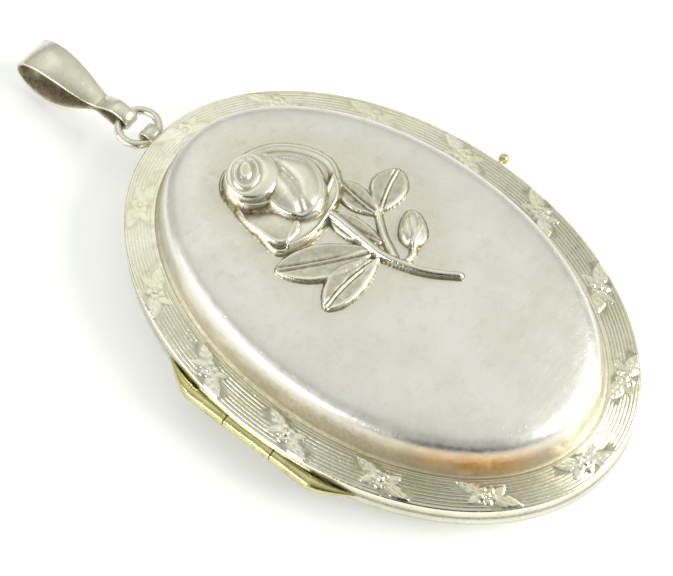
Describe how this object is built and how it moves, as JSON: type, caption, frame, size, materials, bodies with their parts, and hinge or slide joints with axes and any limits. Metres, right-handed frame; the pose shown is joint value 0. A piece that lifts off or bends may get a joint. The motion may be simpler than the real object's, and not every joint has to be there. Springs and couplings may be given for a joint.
{
  "type": "photo locket",
  "caption": "Oval hinged photo locket with a domed rose-relief front, patterned border, side hinge, inner photo frames, jump ring and strip bail.",
  "frame": {"origin": "middle of the flat on the back cover that the locket rests on", "axes": "+Z out of the back towards the front cover, +Y along the oval towards the bail, -X towards the hinge"},
  "size_m": [0.0346, 0.0634, 0.011],
  "materials": {
    "silver_plate": "satin silver plate, lightly worn and tarnished",
    "brass": "bare worn brass",
    "photo_card": "plain aged card",
    "celluloid": "clear thin sheet"
  },
  "bodies": {
    "back": {"back_cover": "silver_plate", "snap_collar": "brass", "back_photo_card": "photo_card", "back_photo_window": "celluloid", "back_photo_frame": "brass", "hinge_knuckle_upper": "brass", "hinge_knuckle_lower": "brass", "hinge_pin": "brass", "suspension_eye": "silver_plate"},
    "lid": {"front_cover": "silver_plate", "front_photo_card": "photo_card", "front_photo_window": "celluloid", "front_photo_frame": "brass", "hinge_knuckle_middle": "brass", "thumb_stud": "brass"},
    "ring": {"jump_ring": "silver_plate"},
    "bail": {"bail": "silver_plate"}
  },
  "joints": [
    {"name": "lid_hinge", "type": "hinge", "parent": "back", "child": "lid", "pos_m": [-0.01635, 0, 0.0036], "axis": [0, -1, 0], "range_deg": [0, 175]},
    {"name": "ring_swing", "type": "hinge", "parent": "back", "child": "ring", "pos_m": [0, 0.02495, 0.0036], "axis": [1, 0, 0], "range_deg": [-10, 85]},
    {"name": "bail_swing", "type": "hinge", "parent": "ring", "child": "bail", "pos_m": [0, 0.02815, 0.0036], "axis": [1, 0, 0], "range_deg": [-60, 60]}
  ]
}
